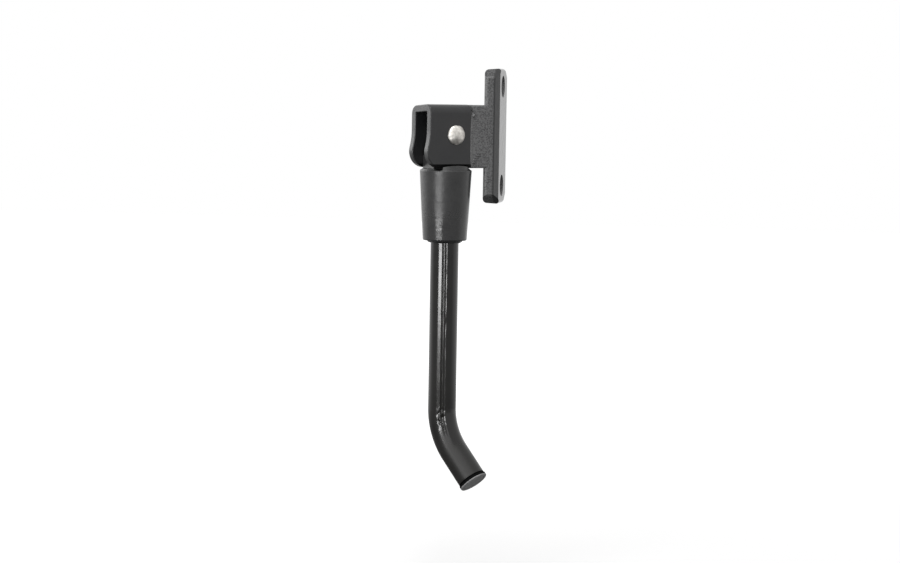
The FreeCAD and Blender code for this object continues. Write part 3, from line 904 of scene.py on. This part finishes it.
    def _ripple(self, point: Vector) -> Vector:
        """Ripples of the weld, strongest at its free edge.

        Args:
            point: a point of the smooth bead.

        Returns:
            How far it moves.
        """
        out = Vector((point.x, point.y, 0.0))
        free = max(0.0, out.length - self.tube / 2 - self.ripple_start) / self.weld
        down = max(0.0, -self.cone_end - point.z) / self.weld
        lump = noise.noise(Vector((point.x / self.ripple_size, point.y / self.ripple_size, 2.0)))
        aside = out.normalized() * (self.ripple_out * lump * free)
        return aside - UP * (self.ripple_down * lump * down)

    def dress(self) -> None:
        """Coat the housing."""
        dress_node("spring_housing", HOUSING_COAT.make())


def bearing(azimuth: float, elevation: float) -> Vector:
    """The direction from the object to a camera or a lamp, whose angles are in degrees."""
    turn, rise = math.radians(azimuth), math.radians(elevation)
    return Vector((math.sin(turn) * math.cos(rise), -math.cos(turn) * math.cos(rise), math.sin(rise)))


@dataclass(frozen=True)
class Lamp:
    """One box light that faces the object: its bearing, then metres and watts."""

    name: str
    azimuth: float
    elevation: float
    distance: float
    size: Span
    power: float

    def build(self, centre: Vector) -> None:
        """Hang the lamp.

        Args:
            centre: what it faces.
        """
        away = bearing(self.azimuth, self.elevation)
        data = bpy.data.lights.new(self.name, "AREA")
        data.shape = "RECTANGLE"
        data.size, data.size_y = self.size
        data.energy = self.power
        lamp = bpy.data.objects.new(self.name, data)
        lamp.visible_camera = False
        bpy.context.scene.collection.objects.link(lamp)
        lamp.matrix_world = (Matrix.Translation(centre + away * self.distance)
                             @ away.to_track_quat("Z", "Y").to_matrix().to_4x4())


LAMPS = (
    Lamp("front_strip", -20.0, -4.8, 1.3, (0.7, 0.14), 6.4),
    Lamp("left_box", -112.0, 22.0, 1.2, (0.9, 0.9), 7.0),
    Lamp("front_box", -10.0, 20.0, 1.3, (1.4, 0.9), 5.0),
    Lamp("top_box", -8.0, 70.0, 1.2, (0.5, 0.5), 8.0),
)


@dataclass
class Studio:
    """Floor, white surround, lamps and camera."""

    azimuth: float = 10.0
    elevation: float = 4.5
    roll: float = 0.95
    lens: float = 100.0
    distance: float = 1150.0
    aim_right: float = 1.656
    aim_down: float = 67.57
    view_depth: float = 50.0
    floor_gap: float = 45.0
    floor_size: float = 6000.0
    floor_tone: float = 0.5
    floor_bounce: float = 0.14
    floor_glow: float = 0.53
    front_gloss: float = 0.55
    floor_fade: Span = (120.0, 1000.0)
    room_light: float = 0.4
    lamp_drop: float = 60.0

    def build_camera(self) -> None:
        """Camera at the photograph's angle."""
        turn, lean = math.radians(self.azimuth), math.radians(self.roll)
        back = bearing(self.azimuth, self.elevation)
        level = Vector((math.cos(turn), math.sin(turn), 0.0))
        upright = back.cross(level)
        right = level * math.cos(lean) + upright * math.sin(lean)
        top = upright * math.cos(lean) - level * math.sin(lean)
        aim = PIVOT.translation + right * (self.aim_right * MM) - top * (self.aim_down * MM)
        data = bpy.data.cameras.new("photo_camera")
        data.lens = self.lens
        data.clip_end = self.view_depth
        camera = bpy.data.objects.new("photo_camera", data)
        bpy.context.scene.collection.objects.link(camera)
        facing = Matrix((right, top, back)).transposed().to_4x4()
        camera.matrix_world = Matrix.Translation(aim + back * (self.distance * MM)) @ facing
        bpy.context.scene.camera = camera

    def build_floor(self, lowest: float) -> None:
        """Flat pale floor below the object.

        Args:
            lowest: the object's lowest point.
        """
        mesh = bmesh.new()
        bmesh.ops.create_grid(mesh, x_segments=1, y_segments=1, size=self.floor_size / 2)
        shift = Matrix.Translation((0.0, 0.0, lowest / MM - self.floor_gap))
        bmesh.ops.transform(mesh, matrix=Matrix.Scale(MM, 4) @ shift, verts=mesh.verts)
        data = bpy.data.meshes.new("studio_floor")
        mesh.to_mesh(data)
        mesh.free()
        floor = bpy.data.objects.new("studio_floor", data)
        bpy.context.scene.collection.objects.link(floor)
        data.materials.append(self._floor_material())
        floor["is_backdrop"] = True

    @staticmethod
    def _rays(graph: Graph) -> tuple[Signal, Signal]:
        """Which rays show the background.

        Args:
            graph: the floor's or the world's graph.

        Returns:
            1 for rays straight to the camera or through glass, and 1 for glossy ones.
        """
        path = graph.node("ShaderNodeLightPath")
        camera, through, glossy = (Signal(graph, path.outputs[name]) for name in (
            "Is Camera Ray", "Is Transmission Ray", "Is Glossy Ray"))
        return graph.math("MAXIMUM", camera, through), glossy

    def _floor_material(self) -> bpy.types.Material:
        """Paper that runs into the white background with distance and still takes a shadow.

        Returns:
            The material.
        """
        material, graph = new_material("studio_paper")
        direct, glossy = self._rays(graph)
        place = graph.place()
        edge = self.floor_fade[1] / 3
        far = graph.ramp(graph.reach(place), *self.floor_fade)
        behind = graph.ramp(graph.along(place, "Y"), -edge, edge)
        gloss = far * (behind * (1.0 - self.front_gloss) + self.front_gloss)
        shine = direct * (far * self.floor_glow + (1.0 - self.floor_glow)) + glossy * gloss
        tone = direct * (self.floor_tone - self.floor_bounce) + self.floor_bounce
        graph.surface({"Base Color": tone, "Roughness": 1.0, "Specular IOR Level": 0.0,
                       "Emission Color": shine, "Emission Strength": 1.0})
        return material

    def build_world(self) -> None:
        """White surround for the camera and for reflections, softer room light for the object."""
        world = bpy.data.worlds.new("studio_world")
        bpy.context.scene.world = world
        world.use_nodes = True
        graph = Graph(world.node_tree)
        seen = graph.math("MAXIMUM", *self._rays(graph))
        level = seen * (1.0 - self.room_light) + self.room_light
        inputs = {"Color": (1.0, 1.0, 1.0, 1.0), "Strength": level}
        graph.node("ShaderNodeOutputWorld", inputs={
            "Surface": graph.signal("ShaderNodeBackground", inputs=inputs)})

    def build_lamps(self) -> None:
        """A bright strip and a wide soft box in front, a box on the left and a small one above."""
        for lamp in LAMPS:
            lamp.build(PIVOT.translation - UP * (self.lamp_drop * MM))


def as_lists(corners: Sequence[Vector]) -> list[list[float]]:
    """A box's corners as plain lists."""
    return [list(corner) for corner in corners]


def main() -> None:
    """Build and dress every piece, then light it."""
    logging.basicConfig(level=logging.INFO, format="%(name)s %(message)s")
    solid_box = as_lists(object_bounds())
    bracket = Bracket()
    bracket.dress()
    bracket.build_rivet()
    bracket.build_tacks()
    puller = Puller()
    puller.dress()
    puller.build_spring()
    leg = Leg()
    leg.dress()
    leg.build_tube()
    leg.build_plug()
    leg.build_weld()
    studio = Studio()
    studio.build_camera()
    studio.build_floor(solid_box[0][2])
    studio.build_world()
    studio.build_lamps()
    bpy.context.scene.view_settings.view_transform = "Standard"


if __name__ == "__main__":
    main()
